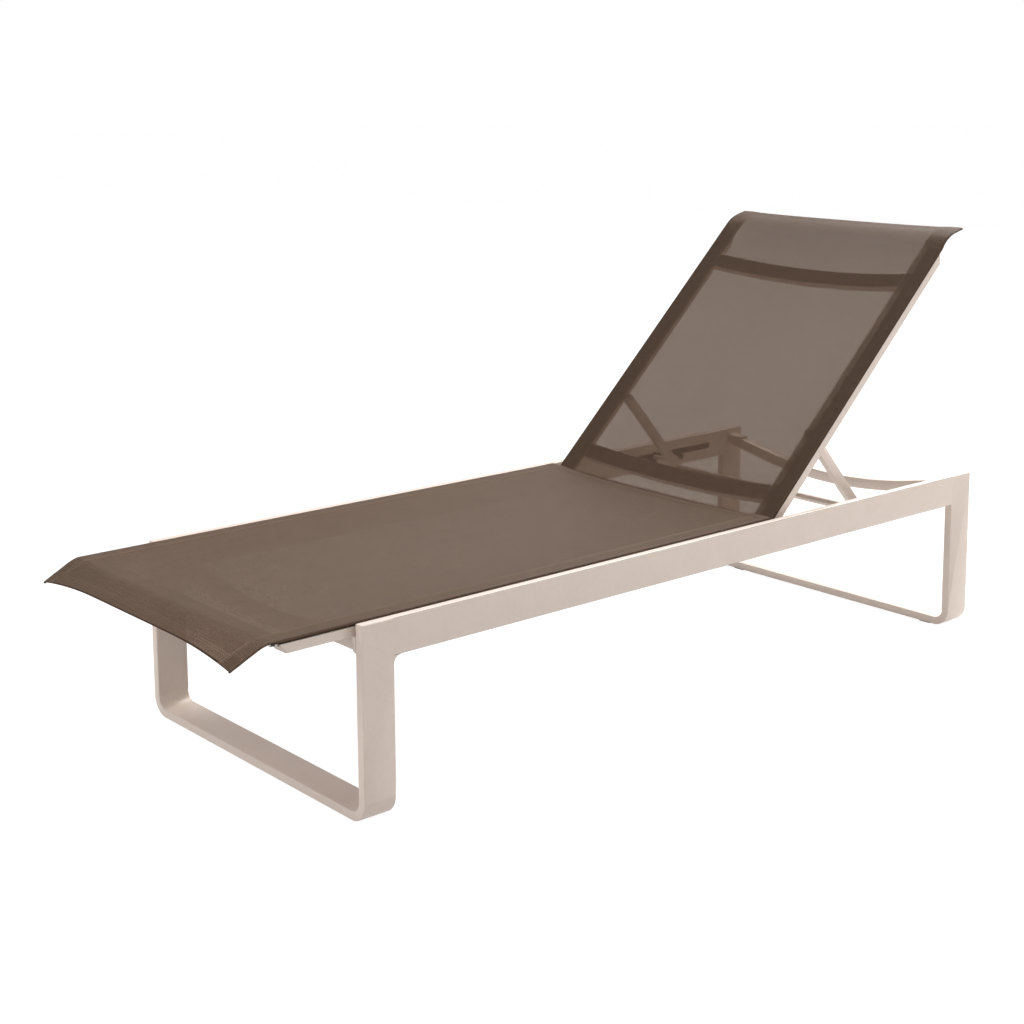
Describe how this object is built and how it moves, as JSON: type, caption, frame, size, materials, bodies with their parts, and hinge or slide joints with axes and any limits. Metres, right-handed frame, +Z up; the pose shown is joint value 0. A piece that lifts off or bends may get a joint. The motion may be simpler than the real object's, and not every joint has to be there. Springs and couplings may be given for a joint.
{
  "type": "sun lounger",
  "caption": "Low sling sun lounger: flat-tube frame on U-shaped legs, mesh seat and back slings, and a backrest propped by a strut frame that slides in notched side slots.",
  "frame": {"origin": "on the floor, at the centre of the footprint of the whole lounger", "axes": "+X towards the head end, along the length; +Y towards the occupant's right; +Z up"},
  "size_m": [1.9112, 0.708, 0.904],
  "materials": {
    "sand_coat": "fine matt powder coat in a warm sand colour over aluminium tube",
    "sling_mesh": "open woven coated-yarn mesh, taupe brown, partly see-through",
    "spline_rod": "extruded white plastic rod",
    "fastener_steel": "stainless steel, lightly brushed",
    "dark_plastic": "moulded black nylon, fine matt texture",
    "pale_plastic": "moulded plastic in the frame's sand colour"
  },
  "bodies": {
    "frame": {"left_side_rail": "sand_coat", "right_side_rail": "sand_coat", "front_leg_frame": "sand_coat", "rear_leg_frame": "sand_coat", "front_cross_bar": "sand_coat", "rear_cross_bar": "sand_coat", "front_glides": "dark_plastic", "rear_glides": "dark_plastic", "rest_pads": "pale_plastic", "left_seat_rail": "sand_coat", "right_seat_rail": "sand_coat", "seat_rail_plugs": "pale_plastic", "seat_rail_spacers": "dark_plastic", "seat_rail_screws": "fastener_steel", "seat_rail_nuts": "fastener_steel", "left_seat_spline": "spline_rod", "right_seat_spline": "spline_rod", "seat_sling": "sling_mesh", "pivot_bolts": "fastener_steel", "pivot_bushes": "dark_plastic", "pivot_nuts": "fastener_steel"},
    "backrest": {"left_back_rail": "sand_coat", "right_back_rail": "sand_coat", "lower_back_bar": "sand_coat", "upper_back_bar": "sand_coat", "back_rail_plugs": "pale_plastic", "left_back_spline": "spline_rod", "right_back_spline": "spline_rod", "back_sling": "sling_mesh", "strut_bolts": "fastener_steel", "strut_spacers": "dark_plastic", "strut_nuts": "fastener_steel"},
    "strut_frame": {"left_strut": "sand_coat", "right_strut": "sand_coat", "cross_tube": "sand_coat", "slot_pins": "sand_coat", "left_slot_bush": "dark_plastic", "right_slot_bush": "dark_plastic"}
  },
  "joints": [
    {"name": "backrest_recline", "type": "hinge", "parent": "frame", "child": "backrest", "pos_m": [0.34164, 0, 0.3215], "axis": [0, -1, 0], "range_deg": [-42.8, 19.4]},
    {"name": "strut_swing", "type": "hinge", "parent": "backrest", "child": "strut_frame", "pos_m": [0.49192, 0, 0.4943], "axis": [0, -1, 0], "range_deg": [-38.8, 85.6]}
  ],
  "couplings": [
    {"joint": "strut_swing", "follows": "backrest_recline", "ratio": -2}
  ]
}
